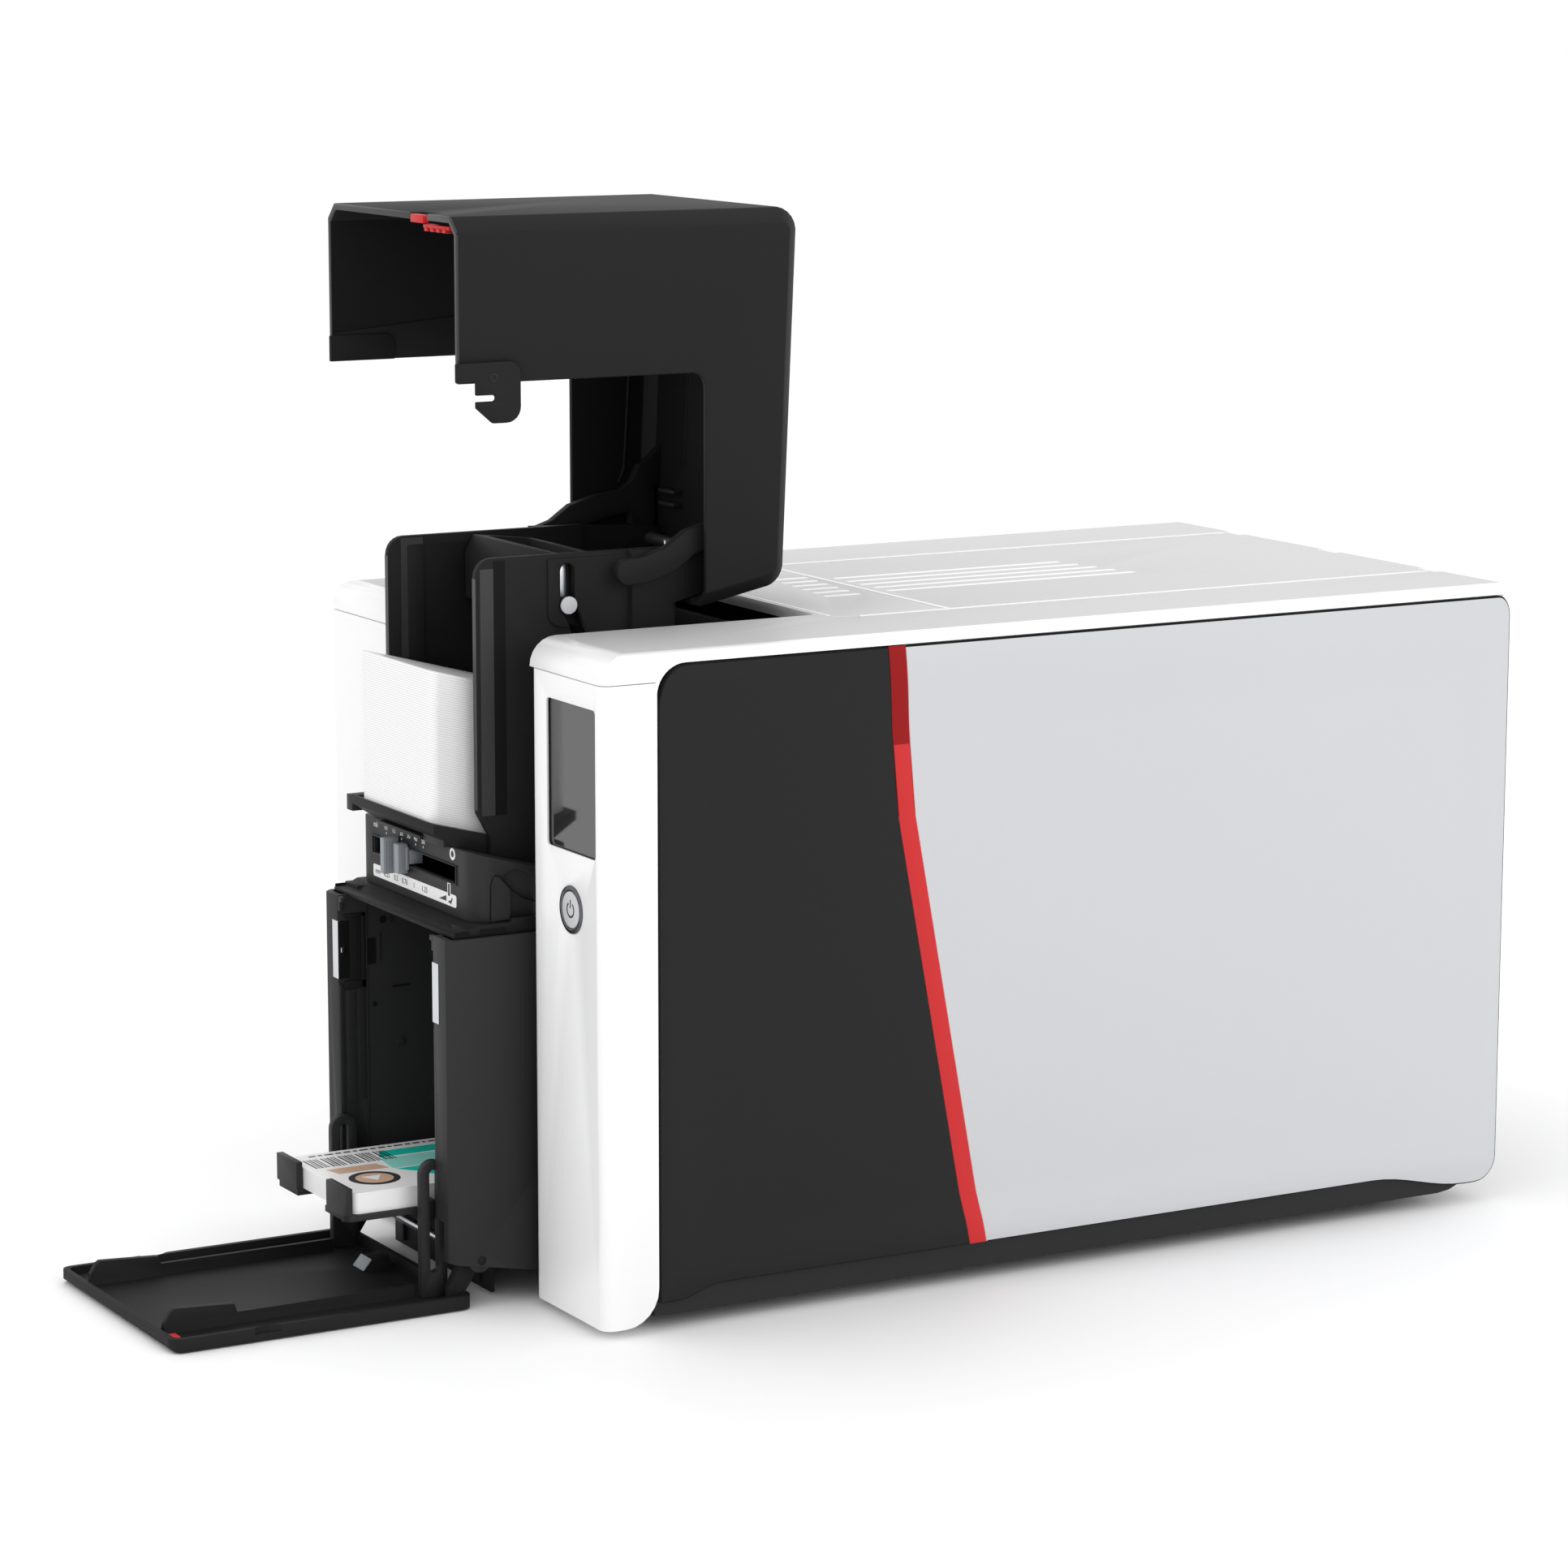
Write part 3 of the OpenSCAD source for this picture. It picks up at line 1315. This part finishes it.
module spool(y, roll_d, film) {
    end = engine_half;
    color(film) on_table() rod(-31, 31, y, spool_z, roll_d / 2);
    color([0.9, 0.9, 0.88]) on_table() {
        rod(-end - plate_t - 1, -31, y, spool_z, 4);
        rod(31, end + plate_t + 1, y, spool_z, 4);
        both_sides() rod(31, 32.5, y, spool_z, 13);
    }
}

module ribbon_supply() { spool(supply_y, ribbon_d, [0.2, 0.55, 0.6]); }
module ribbon_takeup() { spool(takeup_y, 24, [0.45, 0.25, 0.4]); }

module print_head() {
    low = path_z + card_t + 0.6;
    top = body_h - wall_t;
    color(steel) on_table() {
        // Heat sink with the print edge below, held by two posts from the cover
        across(-30, 30) polygon([[platen_y - 1.5, low], [platen_y + 1.5, low], [platen_y + 8, low + 5],
            [platen_y + 10, low + 20], [platen_y - 8, low + 20], [platen_y - 6, low + 5]]);
        for (x = [-30, 24])
            block([x, platen_y - 6, low + 20], [x + 6, platen_y + 8, top]);
        for (i = [0:6]) let (x = -21 + 7 * i)
            block([x - 1, platen_y - 6, low + 20], [x + 1, platen_y + 8, low + 32]);
    }
}

module main_board() {
    z = board_z;
    low = [19.5 - housing_half, plate_front_y + 24];
    high = [housing_half - 29.5, plate_rear_y - 18];
    color([0.1, 0.4, 0.2]) on_table() difference() {
        upward(z, z + 1.6) translate(low) square(high - low);
        for (x = [low.x + 4, high.x - 4], y = [low.y + 4, high.y - 4])
            translate([x, y, z - cut]) cylinder(h = 4, r = 1.6);
    }
    color([0.15, 0.15, 0.16]) on_table() {
        block([low.x + 40, low.y + 64, z + 1.6], [low.x + 62, low.y + 86, z + 4]);
        block([low.x + 90, low.y + 44, z + 1.6], [low.x + 120, low.y + 60, z + 9]);
        for (x = [20, 34, 48]) translate([low.x + x, high.y - 20, z + 1.6]) cylinder(h = 16, r = 5);
    }
}

module fan_frame() {
    rear = body_d - rear_panel_t;
    color([0.13, 0.13, 0.13]) on_table() difference() {
        along(rear - 10, rear) rounded([fan_x - fan_size / 2, fan_z - fan_size / 2],
            [fan_x + fan_size / 2, fan_z + fan_size / 2], 3);
        translate([fan_x, rear - 11, fan_z]) rotate([-90, 0, 0]) cylinder(h = 12, d = fan_size - 3);
    }
    color([0.13, 0.13, 0.13]) on_table() difference() {
        union() {
            along(rear - 1.4, rear) for (a = [0:60:120]) translate([fan_x, fan_z]) rotate(a)
                square([fan_size - 2, 2], center = true);
            translate([fan_x, rear - 5, fan_z]) rotate([-90, 0, 0]) cylinder(h = 4, r = 1.4);
        }
    }
}

module fan_rotor() {
    rear = body_d - rear_panel_t;
    color([0.2, 0.2, 0.2]) on_table() translate([fan_x, rear - 9.5, fan_z]) rotate([-90, 0, 0]) {
        difference() {
            cylinder(h = 7, r = 9);
            translate([0, 0, 3]) cylinder(h = 5, r = 1.4 + fit);
        }
        for (i = [0:6]) rotate(360 / 7 * i) translate([8.6, 0, 0.5]) rotate([28, 0, 0])
            cube([9, 1.2, 6], center = false);
    }
}

module rear_sockets() {
    color([0.1, 0.1, 0.1]) on_table() for (s = socket_list()) difference() {
        along(body_d - 14, body_d - 0.4) translate([s[0] - s[2] / 2, s[1] - s[3] / 2]) square([s[2], s[3]]);
        along(body_d - 10, body_d + cut) translate([s[0] - s[2] / 2 + 1.4, s[1] - s[3] / 2 + 1.4])
            square([s[2] - 2.8, s[3] - 2.8]);
    }
}

module screws() {
    color(steel) on_table() for (p = screw_list())
        translate([p.x, body_d, p.y]) rotate([90, 0, 0]) difference() {
            cylinder(h = screw_head_h, r = screw_head_r);
            translate([0, 0, -cut]) cylinder(h = cut + 0.8, r = 1.2, $fn = 6);
        }
}

lower_housing();
feet();
right_column();
left_column();
front_bay();
rear_panel();
right_panel_front();
right_stripe();
right_panel_rear();
left_panel_front();
left_stripe();
left_panel_rear();
top_cover();
front_insert();
vent_panel();
cover_hinge_pin();
rear_cap();
screen_glass();
display_module();
button_ring();
power_button();
feeder_frame();
feeder_floor();
feed_roller();
card_weight();
blank_cards();
gauge_housing();
gauge_slider();
hood();
hood_arms();
hood_hook();
hood_hinge_pin();
hood_latch();
hopper();
hopper_cap();
leaf_springs();
hopper_door();
door_arms();
door_hinge_pin();
card_tray();
printed_cards();
engine_plates();
cleaning_roller();
platen();
exit_roller();
entry_pinch();
exit_pinch();
drive_motor();
motor_pinion();
drive_belt();
ribbon_supply();
ribbon_takeup();
print_head();
main_board();
fan_frame();
fan_rotor();
rear_sockets();
screws();
